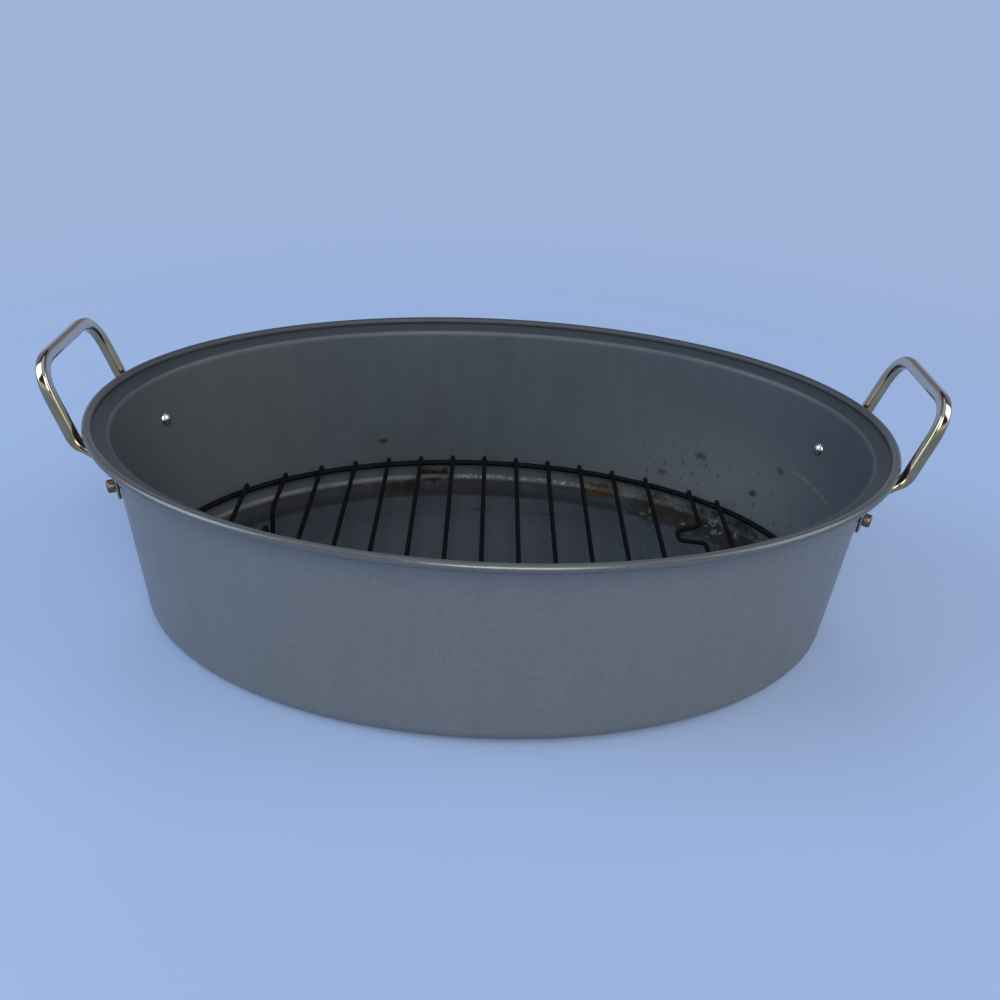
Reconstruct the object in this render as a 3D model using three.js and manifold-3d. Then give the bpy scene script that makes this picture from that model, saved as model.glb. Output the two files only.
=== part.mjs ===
// Open oval roasting pan with two riveted end handles and a loose wire rack.
// Millimetres, +Z up. The origin is on the resting plane, under the middle of the oval.
// X runs along the pan from the left handle to the right one, and -Y faces the front.

import * as THREE from 'three';
import { mergeVertices } from 'three/addons/utils/BufferGeometryUtils.js';
import Module from 'manifold-3d';

const wasm = await Module();
wasm.setup();

// Pan, drawn from one sheet
const RIM_LENGTH = 457;
const RIM_WIDTH = 330;
const PAN_HEIGHT = 123;
const SHEET = 1.2;
const BEAD_RADIUS = 2.5;
const BEAD_CREASE_ANGLE = 32;
const SEAT_INSET = 10.2;
const SEAT_DROP = 2.6;
const SEAT_CORNER_RADIUS = 3;
const WALL_DRAFT = 11.5;
const FLOOR_CORNER_RADIUS = 10.5;

// Rivets through the wall and the handles' feet
const RIVET_DROP = 34;
const RIVET_SPACING = 87;
const RIVET_SHANK_RADIUS = 2.3;
const RIVET_HEAD_RADIUS = 4.2;
const RIVET_HEAD_RISE = 2.3;
const RIVET_KNOB_RADIUS = 3.7;
const RIVET_KNOB_LENGTH = 3.9;
const RIVET_KNOB_ROUND = 1.3;

// Handles, bent from rod and forged flat at the feet
const HANDLE_REACH = 13.3;
const HANDLE_RISE = 30.7;
const HANDLE_SPAN = 82;
const HANDLE_LEAN = 3.2;
const HANDLE_CORNER_RADIUS = 21;
const HANDLE_KNEE_DROP = 11;
const HANDLE_KNEE_RADIUS = 15;
const HANDLE_RIM_GAP = 4;
const ROD_ACROSS = 7;
const ROD_IN_PLANE = 7.6;
const ROD_SQUARENESS = 0.78;
const FOOT_THICKNESS = 2.2;
const FOOT_WIDTH = 13;
const FOOT_BELOW_RIVET = 8.4;
const FOOT_ABOVE_RIVET = 13;

// Rack of round wire, standing on feet bent into two of its bars
const RACK_HEIGHT = 25.5;
const RING_WIRE_RADIUS = 1.9;
const BAR_WIRE_RADIUS = 1.5;
const RING_TO_WALL = 3.1;
const BAR_COUNT = 15;
const BAR_PITCH = 22.9;
const BAR_SHIFT = -1.9;
const BAR_OVERHANG = 1.7;
const FOOT_BAR_INSET = 1;
const RACK_FOOT_OFFSET = 39.5;
const RACK_FOOT_OPENING = 22;
const RACK_FOOT_TIP = 12;
const RACK_FOOT_BEND = 5.5;
const FOLDED_FOOT_LENGTH = 15.8;
const FOLDED_FOOT_TILT = 84;
const FOLDED_BAR_SHIFT = 5.8;
const RACK_SHIFT = -2;
const RACK_TURN = 0.6;

// Clearances, and how near two points count as one
const SEAT_GAP = 0.3;
const RIVET_CLEARANCE = 0.35;
const WELD_DISTANCE = 1e-4;

// Mesh fineness
const OVAL_STEPS = 80;
const ROD_SIDES = 12;
const WIRE_SIDES = 8;
const RIVET_SIDES = 16;
const ARC_STEPS = 4;
const BEAD_STEPS = 11;

const COATING = { color: 0x5c6066, roughness: 0.5, metalness: 0.45 };
const STEEL = { color: 0xc9c6bf, roughness: 0.14, metalness: 1 };
const ALUMINIUM = { color: 0xb9b2a6, roughness: 0.35, metalness: 1 };
const BLACK_WIRE = { color: 0x14161a, roughness: 0.45, metalness: 0.3 };

// Heights and half axes that the pieces share
const rimA = RIM_LENGTH / 2 - BEAD_RADIUS;
const rimB = RIM_WIDTH / 2 - BEAD_RADIUS;
const beadHeight = PAN_HEIGHT - BEAD_RADIUS;
const rivetHeight = PAN_HEIGHT - RIVET_DROP;
const creaseAngle = radians(BEAD_CREASE_ANGLE);
const creaseInset = BEAD_RADIUS * Math.cos(creaseAngle);
const creaseHeight = beadHeight - BEAD_RADIUS * Math.sin(creaseAngle);
const seatSlope = Math.atan2(SEAT_DROP, SEAT_INSET + SHEET - creaseInset);
const wallTopHeight = seatTop(SEAT_INSET) - SHEET / Math.cos(seatSlope);
const draftAngle = Math.atan2(WALL_DRAFT, wallTopHeight);
const levelSheet = SHEET / Math.cos(draftAngle);
const barHalf = wireHalf(BAR_WIRE_RADIUS);
const ringHeight = RACK_HEIGHT - barHalf - SEAT_GAP - wireHalf(RING_WIRE_RADIUS);
const ringInset = wallInset(ringHeight) + levelSheet + RING_TO_WALL + RING_WIRE_RADIUS;
const ringA = rimA - ringInset;
const ringB = rimB - ringInset;

function radians(degrees) {
  return (degrees * Math.PI) / 180;
}

// Height of the cover seat's upper face at an inset from the bead's centre line.
function seatTop(inset) {
  return creaseHeight - (inset - creaseInset) * Math.tan(seatSlope);
}

// Half the height of a wire, whose section has a flat above and below.
function wireHalf(radius) {
  return radius * Math.cos(Math.PI / WIRE_SIDES);
}

// Inset of the wall's outer face from the bead's centre line at a height.
function wallInset(height) {
  return SEAT_INSET + (WALL_DRAFT * (wallTopHeight - height)) / wallTopHeight;
}

// Meshes and solids

function meshFrom(points, faces) {
  const geometry = new THREE.BufferGeometry().setFromPoints(points);
  geometry.setIndex(faces);
  geometry.computeVertexNormals();
  return geometry;
}

function toSolid(geometry) {
  const bare = geometry.clone();
  bare.deleteAttribute('normal');
  bare.deleteAttribute('uv');
  const merged = mergeVertices(bare, WELD_DISTANCE);
  const vertProperties = new Float32Array(merged.attributes.position.array);
  const triVerts = new Uint32Array(merged.index.array);
  return new wasm.Manifold(new wasm.Mesh({ numProp: 3, vertProperties, triVerts }));
}

function toGeometry(solid) {
  const { vertProperties, triVerts } = solid.getMesh();
  const geometry = new THREE.BufferGeometry();
  geometry.setAttribute('position', new THREE.BufferAttribute(new Float32Array(vertProperties), 3));
  geometry.setIndex(new THREE.BufferAttribute(new Uint32Array(triVerts), 1));
  geometry.computeVertexNormals();
  return geometry;
}

function named(name, geometry, finish) {
  const mesh = new THREE.Mesh(geometry, new THREE.MeshStandardMaterial(finish));
  mesh.name = name;
  return mesh;
}

function middleOf(ring) {
  const sum = ring.reduce((total, point) => total.add(point), new THREE.Vector3());
  return sum.divideScalar(ring.length);
}

// A skin over rings of equal point counts, capped at both ends or closed on itself.
function loft(rings, closed) {
  const sides = rings[0].length;
  const points = rings.flat();
  const faces = [];
  const spans = closed ? rings.length : rings.length - 1;
  for (let i = 0; i < spans; i += 1) {
    const here = i * sides;
    const next = ((i + 1) % rings.length) * sides;
    for (let j = 0; j < sides; j += 1) {
      const k = (j + 1) % sides;
      faces.push(here + j, here + k, next + k, here + j, next + k, next + j);
    }
  }
  if (!closed) {
    const start = points.push(middleOf(rings[0])) - 1;
    const end = points.push(middleOf(rings.at(-1))) - 1;
    const last = (rings.length - 1) * sides;
    for (let j = 0; j < sides; j += 1) {
      const k = (j + 1) % sides;
      faces.push(start, k, j, end, last + j, last + k);
    }
  }
  return meshFrom(points, faces);
}

// A circle of points around a place, in the plane of two unit directions.
function wireRing(centre, first, second, radius) {
  return Array.from({ length: WIRE_SIDES }, (_, i) => {
    const angle = (2 * Math.PI * (i + 0.5)) / WIRE_SIDES;
    const point = centre.clone().addScaledVector(first, radius * Math.cos(angle));
    return point.addScaledVector(second, radius * Math.sin(angle));
  });
}

// A round turn at a corner, limited by the straight stretches beside it.
function bend(from, corner, to, radius, steps) {
  const back = from.clone().sub(corner);
  const ahead = to.clone().sub(corner);
  const reach = radius / Math.tan(back.angleTo(ahead) / 2);
  const cut = Math.min(reach, back.length() / 2, ahead.length() / 2);
  const start = corner.clone().addScaledVector(back.normalize(), cut);
  const end = corner.clone().addScaledVector(ahead.normalize(), cut);
  return new THREE.QuadraticBezierCurve3(start, corner, end).getPoints(steps);
}

// Pan

// Points of an arc in the section plane, as inset and height, both ends included.
function arc(inset, height, radius, from, to, steps) {
  return Array.from({ length: steps + 1 }, (_, i) => {
    const angle = from + ((to - from) * i) / steps;
    return [inset + radius * Math.cos(angle), height + radius * Math.sin(angle)];
  });
}

// The turn from floor to wall. Both faces of the sheet share its centre.
function floorCorner(radius) {
  const height = FLOOR_CORNER_RADIUS;
  const inset = wallInset(height) + FLOOR_CORNER_RADIUS / Math.cos(draftAngle);
  return arc(inset, height, radius, 1.5 * Math.PI, Math.PI + draftAngle, ARC_STEPS);
}

// A rounded edge of the section, between the points before and after it.
function roundEdge(before, edge, after, radius) {
  const [from, corner, to] = [before, edge, after].map(([x, z]) => new THREE.Vector3(x, 0, z));
  return bend(from, corner, to, radius, ARC_STEPS - 1).map((point) => [point.x, point.z]);
}

// The pan's section: up the outside from the floor, over the rolled bead, down the seat and the inside.
function panSection() {
  const outerTurn = floorCorner(FLOOR_CORNER_RADIUS);
  const innerTurn = floorCorner(FLOOR_CORNER_RADIUS - SHEET).reverse();
  const sheetAngle = 2 * Math.asin(SHEET / (2 * BEAD_RADIUS));
  const beadStart = 2 * Math.PI - creaseAngle - sheetAngle;
  const bead = arc(0, beadHeight, BEAD_RADIUS, beadStart, -creaseAngle, BEAD_STEPS);
  const outerEdge = [SEAT_INSET, wallTopHeight];
  const innerEdge = [SEAT_INSET + levelSheet, seatTop(SEAT_INSET + levelSheet)];
  return [
    ...outerTurn,
    ...roundEdge(outerTurn.at(-1), outerEdge, bead[0], SEAT_CORNER_RADIUS),
    ...bead,
    ...roundEdge(bead.at(-1), innerEdge, innerTurn[0], SEAT_CORNER_RADIUS + SHEET),
    ...innerTurn,
  ];
}

function panShell() {
  const section = panSection();
  const rows = section.length;
  const points = [];
  const faces = [];
  for (let i = 0; i < OVAL_STEPS; i += 1) {
    const angle = (2 * Math.PI * i) / OVAL_STEPS;
    section.forEach(([inset, height]) => {
      const x = (rimA - inset) * Math.cos(angle);
      const y = (rimB - inset) * Math.sin(angle);
      points.push(new THREE.Vector3(x, y, height));
    });
  }
  const underside = points.push(new THREE.Vector3(0, 0, 0)) - 1;
  const floor = points.push(new THREE.Vector3(0, 0, SHEET)) - 1;
  for (let i = 0; i < OVAL_STEPS; i += 1) {
    const here = i * rows;
    const next = ((i + 1) % OVAL_STEPS) * rows;
    for (let j = 0; j < rows - 1; j += 1) {
      faces.push(here + j, next + j, next + j + 1, here + j, next + j + 1, here + j + 1);
    }
    faces.push(underside, next, here, floor, here + rows - 1, next + rows - 1);
  }
  return meshFrom(points, faces);
}

function panBody() {
  const corners = [0, Math.PI].flatMap((turn) => [-1, 1].map((side) => rivetHole(side).rotateZ(turn)));
  return toGeometry(corners.reduce((shell, hole) => shell.subtract(toSolid(hole)), toSolid(panShell())));
}

// Rivets

// Where a rivet sits at the right end: the point on the outer wall, the wall's normal, its upward
// slope, and how far the oval's curve leaves the flat within a half width.
function wallSeat(side) {
  const inset = wallInset(rivetHeight);
  const a = rimA - inset;
  const b = rimB - inset;
  const y = RIVET_SPACING / 2;
  const x = a * Math.sqrt(1 - (y / b) ** 2);
  const steepness = Math.hypot(x / a ** 2, y / b ** 2);
  const level = new THREE.Vector3(x / a ** 2, (side * y) / b ** 2, 0).normalize();
  const curveRadius = (a * b) ** 2 * steepness ** 3;
  const chord = (2 * Math.PI * b) / OVAL_STEPS;
  return {
    point: new THREE.Vector3(x, side * y, rivetHeight),
    normal: level.clone().multiplyScalar(Math.cos(draftAngle)).setZ(-Math.sin(draftAngle)),
    up: level.clone().multiplyScalar(Math.sin(draftAngle)).setZ(Math.cos(draftAngle)),
    bulge: (halfWidth) => (halfWidth ** 2 + (chord / 2) ** 2) / (2 * curveRadius),
  };
}

// Stands a shape that was made along +Y on the wall, with +Y along the wall's outward normal.
function onWall(geometry, seat) {
  const turn = new THREE.Quaternion().setFromUnitVectors(new THREE.Vector3(0, 1, 0), seat.normal);
  return geometry.applyQuaternion(turn).translate(...seat.point.toArray());
}

function rivetHole(side) {
  const radius = RIVET_SHANK_RADIUS + RIVET_CLEARANCE;
  const depth = 4 * (SHEET + FOOT_THICKNESS);
  return onWall(new THREE.CylinderGeometry(radius, radius, depth, RIVET_SIDES), wallSeat(side));
}

// Domed head inside the wall, shank, and the upset knob that clamps the handle's foot.
function rivet(side) {
  const seat = wallSeat(side);
  const headFace = -SHEET - SEAT_GAP - seat.bulge(RIVET_HEAD_RADIUS);
  const knobFace = FOOT_THICKNESS + 2 * SEAT_GAP;
  const knobEnd = knobFace + RIVET_KNOB_LENGTH;
  const domeRadius = (RIVET_HEAD_RADIUS ** 2 + RIVET_HEAD_RISE ** 2) / (2 * RIVET_HEAD_RISE);
  const domeAngle = Math.asin(RIVET_HEAD_RADIUS / domeRadius);
  const domeCentre = headFace - RIVET_HEAD_RISE + domeRadius;
  const crown = -Math.PI / 2;
  const shoulder = RIVET_KNOB_RADIUS - RIVET_KNOB_ROUND;
  const profile = [
    [0, headFace - RIVET_HEAD_RISE],
    ...arc(0, domeCentre, domeRadius, crown, crown + domeAngle, ARC_STEPS).slice(1),
    [RIVET_SHANK_RADIUS, headFace],
    [RIVET_SHANK_RADIUS, knobFace],
    [RIVET_KNOB_RADIUS, knobFace],
    ...arc(shoulder, knobEnd - RIVET_KNOB_ROUND, RIVET_KNOB_ROUND, 0, Math.PI / 2, ARC_STEPS - 1),
    [0, knobEnd],
  ];
  const outline = profile.map(([radius, height]) => new THREE.Vector2(radius, height));
  return onWall(new THREE.LatheGeometry(outline, RIVET_SIDES), seat);
}

// Handles

// Stations of one half of a handle, from the tip of a foot to the middle of the grip. Each has its
// centre, the share of full rod in its section, and the share of the foot's width. The grip leans
// sideways off the feet.
function handlePath(side, lean) {
  const seat = wallSeat(side);
  const skin = SEAT_GAP + FOOT_THICKNESS / 2;
  const base = seat.point.clone().addScaledVector(seat.normal, skin);
  const alongWall = (distance) => base.clone().addScaledVector(seat.up, distance);
  const neck = alongWall(FOOT_ABOVE_RIVET);
  const kneeY = (RIVET_SPACING + HANDLE_SPAN) / 4;
  const rimX = rimA * Math.sqrt(1 - (kneeY / rimB) ** 2) + BEAD_RADIUS;
  const knee = new THREE.Vector3(rimX + HANDLE_RIM_GAP, side * kneeY, PAN_HEIGHT - HANDLE_KNEE_DROP);
  const gripX = RIM_LENGTH / 2 + HANDLE_REACH;
  const cornerY = (side * HANDLE_SPAN) / 2 + lean;
  const corner = new THREE.Vector3(gripX, cornerY, PAN_HEIGHT + HANDLE_RISE);
  const middle = corner.clone().setY(lean);
  const rise = corner.clone().sub(knee);
  const tip = Array.from({ length: ARC_STEPS }, (_, i) => {
    const angle = (0.5 * Math.PI * (i + 1)) / ARC_STEPS;
    const belowRivet = FOOT_BELOW_RIVET - (FOOT_WIDTH / 2) * (1 - Math.cos(angle));
    return { centre: alongWall(-belowRivet), rod: 0, width: Math.sin(angle) };
  });
  const neckTurn = bend(base, neck, knee, HANDLE_KNEE_RADIUS, ARC_STEPS);
  const kneeTurn = bend(neck, knee, corner, HANDLE_KNEE_RADIUS, ARC_STEPS);
  const forged = [...neckTurn, ...kneeTurn].map((centre, i, all) => ({
    centre,
    rod: THREE.MathUtils.smoothstep(i, 0, all.length - 1),
    width: 1,
  }));
  const grip = [...bend(knee, corner, middle, HANDLE_CORNER_RADIUS, ARC_STEPS + 2), middle];
  return {
    wallNormal: seat.normal,
    loopNormal: new THREE.Vector3(rise.z, 0, -rise.x).normalize(),
    stations: [...tip, ...forged, ...grip.map((centre) => ({ centre, rod: 1, width: 1 }))],
  };
}

// A rounded-rectangle ring of the rod: thin and wide on the foot, tall and narrow in the grip.
function rodRing(centre, tangent, across, rod, width) {
  const first = across.clone().addScaledVector(tangent, -across.dot(tangent)).normalize();
  const second = new THREE.Vector3().crossVectors(tangent, first);
  const halfAcross = THREE.MathUtils.lerp(FOOT_THICKNESS, ROD_ACROSS, rod) / 2;
  const halfAlong = (width * THREE.MathUtils.lerp(FOOT_WIDTH, ROD_IN_PLANE, rod)) / 2;
  const squared = (value) => Math.sign(value) * Math.abs(value) ** ROD_SQUARENESS;
  return Array.from({ length: ROD_SIDES }, (_, i) => {
    const angle = (2 * Math.PI * (i + 0.5)) / ROD_SIDES;
    const point = centre.clone().addScaledVector(first, halfAcross * squared(Math.cos(angle)));
    return point.addScaledVector(second, halfAlong * squared(Math.sin(angle)));
  });
}

function handle(lean) {
  const front = handlePath(-1, lean);
  const back = handlePath(1, lean);
  const stations = [...front.stations, ...back.stations.slice(0, -1).reverse()];
  const rings = stations.map(({ centre, rod, width }, i) => {
    const before = stations[Math.max(i - 1, 0)].centre;
    const after = stations[Math.min(i + 1, stations.length - 1)].centre;
    const tangent = after.clone().sub(before).normalize();
    const half = centre.y > 0 ? back : front;
    const across = half.wallNormal.clone().lerp(half.loopNormal, rod);
    return rodRing(centre, tangent, across, rod, width);
  });
  const holes = [-1, 1].map((side) => toSolid(rivetHole(side)));
  return toGeometry(holes.reduce((rod, hole) => rod.subtract(hole), toSolid(loft(rings, false))));
}

// One end of the pan: a handle and its two rivets. The left end is the right one turned round, but
// both grips lean to the back.
function panEnd(name, turn, frontSide) {
  const end = new THREE.Group();
  end.rotation.z = turn;
  end.add(named(`handle_${name}`, handle(-frontSide * HANDLE_LEAN), STEEL));
  end.add(named(`rivet_${name}_front`, rivet(frontSide), ALUMINIUM));
  end.add(named(`rivet_${name}_back`, rivet(-frontSide), ALUMINIUM));
  return end;
}

// Rack

function rackRing() {
  const up = new THREE.Vector3(0, 0, 1);
  const rings = Array.from({ length: OVAL_STEPS }, (_, i) => {
    const angle = (2 * Math.PI * i) / OVAL_STEPS;
    const centre = new THREE.Vector3(ringA * Math.cos(angle), ringB * Math.sin(angle), ringHeight);
    const outward = new THREE.Vector3(ringB * Math.cos(angle), ringA * Math.sin(angle), 0).normalize();
    return wireRing(centre, up, outward, RING_WIRE_RADIUS);
  });
  return loft(rings, true);
}

// A wire of round section along a path, its section carried on without twist.
function wire(path, radius) {
  let first = new THREE.Vector3(1, 0, 0);
  const rings = path.map((centre, i) => {
    const before = path[Math.max(i - 1, 0)];
    const after = path[Math.min(i + 1, path.length - 1)];
    const tangent = after.clone().sub(before).normalize();
    first = first.clone().addScaledVector(tangent, -first.dot(tangent)).normalize();
    return wireRing(centre, first, new THREE.Vector3().crossVectors(tangent, first), radius);
  });
  return loft(rings, false);
}

// A bar's foot: a tapered loop of the same wire, hanging down or folded in toward the middle.
function footLoop(x, y, length, tilt) {
  const inward = -Math.sign(x) * Math.sin(radians(tilt)) * length;
  const down = Math.cos(radians(tilt)) * length;
  const onBar = (offset) => new THREE.Vector3(x, y + offset, RACK_HEIGHT);
  const atTip = (offset) => new THREE.Vector3(x + inward, y + offset, RACK_HEIGHT - down);
  const half = RACK_FOOT_OPENING / 2;
  return [onBar(-half), atTip(-RACK_FOOT_TIP / 2), atTip(RACK_FOOT_TIP / 2), onBar(half)];
}

function rackBar(index) {
  const folded = index === BAR_COUNT - FOOT_BAR_INSET;
  const evenX = (index - (BAR_COUNT + 1) / 2) * BAR_PITCH + BAR_SHIFT;
  const x = folded ? evenX + FOLDED_BAR_SHIFT : evenX;
  const reach = ringB * Math.sqrt(1 - (x / ringA) ** 2) + BAR_OVERHANG;
  const ends = [-reach, reach].map((y) => new THREE.Vector3(x, y, RACK_HEIGHT));
  const fromEnd = Math.min(index - 1, BAR_COUNT - index);
  if (fromEnd !== FOOT_BAR_INSET) {
    return wire(ends, BAR_WIRE_RADIUS);
  }
  const drop = RACK_HEIGHT - barHalf - SEAT_GAP - SHEET;
  const [backLength, backTilt] = folded ? [FOLDED_FOOT_LENGTH, FOLDED_FOOT_TILT] : [drop, 0];
  const feet = [
    ...footLoop(x, -RACK_FOOT_OFFSET, drop, 0),
    ...footLoop(x, RACK_FOOT_OFFSET, backLength, backTilt),
  ];
  const corners = [ends[0], ...feet, ends[1]];
  const turns = feet.flatMap((corner, i) =>
    bend(corners[i], corner, corners[i + 2], RACK_FOOT_BEND, ARC_STEPS),
  );
  return wire([ends[0], ...turns, ends[1]], BAR_WIRE_RADIUS);
}

function rack() {
  const group = new THREE.Group();
  group.position.x = RACK_SHIFT;
  group.rotation.z = radians(RACK_TURN);
  group.add(named('rack_ring', rackRing(), BLACK_WIRE));
  for (let index = 1; index <= BAR_COUNT; index += 1) {
    const number = String(index).padStart(2, '0');
    group.add(named(`rack_bar_${number}`, rackBar(index), BLACK_WIRE));
  }
  return group;
}

const roastingPan = new THREE.Group();
roastingPan.add(named('pan_body', panBody(), COATING));
roastingPan.add(panEnd('right', 0, -1));
roastingPan.add(panEnd('left', Math.PI, 1));
roastingPan.add(rack());

export default roastingPan;
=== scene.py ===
"""Looks of an open oval roasting pan with a loose wire rack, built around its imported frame."""

import math

import bpy
import numpy as np
from mathutils import Matrix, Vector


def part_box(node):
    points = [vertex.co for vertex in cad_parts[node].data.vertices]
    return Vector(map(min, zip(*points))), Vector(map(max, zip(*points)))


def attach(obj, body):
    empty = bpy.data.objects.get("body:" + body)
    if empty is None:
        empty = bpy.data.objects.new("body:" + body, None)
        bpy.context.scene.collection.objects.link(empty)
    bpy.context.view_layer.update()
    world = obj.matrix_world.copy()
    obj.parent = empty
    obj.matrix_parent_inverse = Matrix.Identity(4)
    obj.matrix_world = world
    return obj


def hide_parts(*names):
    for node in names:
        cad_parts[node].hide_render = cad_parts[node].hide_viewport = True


bl_info = {
    "name": "Oval roasting pan",
    "version": (1, 0, 0),
    "blender": (4, 5, 0),
    "location": "View3D > Sidebar > Roaster",
    "description": "Builds a coated oval roasting pan, its handles and its wire rack",
    "category": "Add Mesh",
}

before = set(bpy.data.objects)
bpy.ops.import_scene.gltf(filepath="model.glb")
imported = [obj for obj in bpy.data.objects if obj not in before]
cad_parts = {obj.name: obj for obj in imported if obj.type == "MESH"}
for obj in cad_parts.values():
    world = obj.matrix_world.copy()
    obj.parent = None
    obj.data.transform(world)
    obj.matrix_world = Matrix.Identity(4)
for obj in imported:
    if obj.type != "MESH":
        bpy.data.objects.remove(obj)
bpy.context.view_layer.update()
PAN_LOW, PAN_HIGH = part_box("pan_body")

MM = 0.001
DEGREE = math.radians(1)
UP = np.array((0.0, 0.0, 1.0))
ENDS = {"right": 0.0, "left": math.pi}
BAR_COUNT = 15
FOOT_BARS = (2, 14)
FOLDED_BAR = 14
SENSOR_WIDTH = 36.0
PAN_MARKS = ("inner_face", "pan_floor", "rim_bead", "cover_seat", "seat_shoulder")
LAMPS = ("left", "right", "front", "back")

# Fineness of the meshes
OVAL_STEPS = 288
TURN_STEPS = 14
BEAD_STEPS = 30
WALL_ROWS = 10
SEAT_ROWS = 2
ROD_SIDES = 40
WIRE_SIDES = 20
HOOP_STEPS = 320
LATHE_STEPS = 48
CAP_STEPS = 4
STAGE_STEPS = 64
FLAT_ROWS = (0.3, 0.6, 0.85, 0.97)
FOOT_TIP_TURN = 0.02
SHARP_ANGLE = 42 * DEGREE
STAGE_RADIUS = 20.0

# A weld's sink into the wires, its sweep, and its waist and fit as shares of the hoop's wire
WELD_SINK = 0.35
WELD_SWEEP = 0.46 * math.pi
WELD_WAIST = 0.62
WELD_FIT = 0.98

# The hollow in a knob's end: radii as shares of its flat, and the rim's depth as a share of its rounding
DIMPLE_RIM, DIMPLE_BED = 0.55, 0.25
DIMPLE_RIM_DEPTH = 0.12

# Where the finish and its painted shade change, as shares of the bead's curl, the seat's edge and the turn
# to the floor
BEAD_INSIDE = 0.9
SHOULDER_FROM = 0.35
FLOOR_FROM = 0.2
FLOOR_FULL = 0.36


def setting(kind, **fixed):
    """A maker of settings of one kind, each with a name, a description and a default."""

    def make(name, description, default):
        return kind(name=name, description=description, default=default, **fixed)

    return make


length = setting(bpy.props.FloatProperty, unit="LENGTH", subtype="DISTANCE", precision=5)
angle = setting(bpy.props.FloatProperty, unit="ROTATION", subtype="ANGLE")
share = setting(bpy.props.FloatProperty, min=0.0, max=1.0, subtype="FACTOR")
power = setting(bpy.props.FloatProperty, min=0.0, unit="POWER")
lens = setting(bpy.props.FloatProperty, unit="CAMERA")
colour = setting(bpy.props.FloatVectorProperty, size=3, min=0.0, max=1.0, subtype="COLOR")
place = setting(bpy.props.FloatVectorProperty, size=3, unit="LENGTH", subtype="TRANSLATION")


class PanSizes(bpy.types.PropertyGroup):
    """Sizes of the drawn sheet pan."""

    rim_length: length("Rim length", "Over the rolled rim, end to end", PAN_HIGH.x - PAN_LOW.x)
    rim_width: length("Rim width", "Over the rolled rim, front to back", PAN_HIGH.y - PAN_LOW.y)
    height: length("Height", "From the resting plane to the top of the rim", PAN_HIGH.z)
    sheet: length("Sheet", "Thickness of the sheet", 1.2 * MM)
    bead: length("Bead radius", "Radius of the rolled rim bead", 2.5 * MM)
    crease: angle("Bead crease", "How far below level the bead meets the cover seat", 32 * DEGREE)
    seat_inset: length("Seat inset", "From the bead's centre line in to the outer wall", 10.2 * MM)
    seat_drop: length("Seat drop", "Fall of the cover seat from the bead to the wall", 2.6 * MM)
    seat_corner: length("Seat corner", "Outer radius between cover seat and wall", 3 * MM)
    draft: length("Wall draft", "How far the wall leans in from seat to floor", 11.5 * MM)
    floor_corner: length("Floor corner", "Outer radius between wall and floor", 10.5 * MM)


class RivetSizes(bpy.types.PropertyGroup):
    """Sizes of the rivets that hold the handles."""

    drop: length("Drop", "From the top of the rim down to the rivets", 34 * MM)
    spacing: length("Spacing", "Between the two rivets of one handle", 87 * MM)
    shank: length("Shank radius", "Radius of the shank", 2.3 * MM)
    head: length("Head radius", "Radius of the domed head inside", 4.2 * MM)
    head_rise: length("Head rise", "Height of the domed head", 2.3 * MM)
    knob: length("Knob radius", "Radius of the upset knob outside", 3.7 * MM)
    knob_length: length("Knob length", "Length of the upset knob", 3.9 * MM)
    knob_round: length("Knob rounding", "Rounding of the knob's end", 1.3 * MM)
    gap: length("Seat gap", "Room between clamped faces", 0.3 * MM)


class HandleSizes(bpy.types.PropertyGroup):
    """Sizes of the bent rod handles."""

    reach: length("Reach", "Grip beyond the rim's end", 13.3 * MM)
    rise: length("Rise", "Grip above the rim", 30.7 * MM)
    span: length("Span", "Between the legs at the grip", 82 * MM)
    lean: length("Lean", "Grip off the feet, to the back", 3.2 * MM)
    corner: length("Corner radius", "Bend between leg and grip", 21 * MM)
    knee_drop: length("Knee drop", "Knees below the rim", 11 * MM)
    knee: length("Knee radius", "Bend at the knee and the neck", 15 * MM)
    rim_gap: length("Rim gap", "Knees out from the rim", 4 * MM)
    across: length("Rod across", "Rod section across the loop", 6.5 * MM)
    in_plane: length("Rod in plane", "Rod section in the loop's plane", 7.1 * MM)
    squareness: share("Squareness", "Below one, the rod's section is squarer than an oval", 0.6)
    foot: length("Foot thickness", "Thickness of the forged foot", 2.2 * MM)
    foot_width: length("Foot width", "Width of the forged foot", 13 * MM)
    foot_below: length("Foot below rivet", "Foot's lower end below the rivet", 8.4 * MM)
    foot_above: length("Foot above rivet", "Where the neck leaves the wall", 13 * MM)


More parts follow.
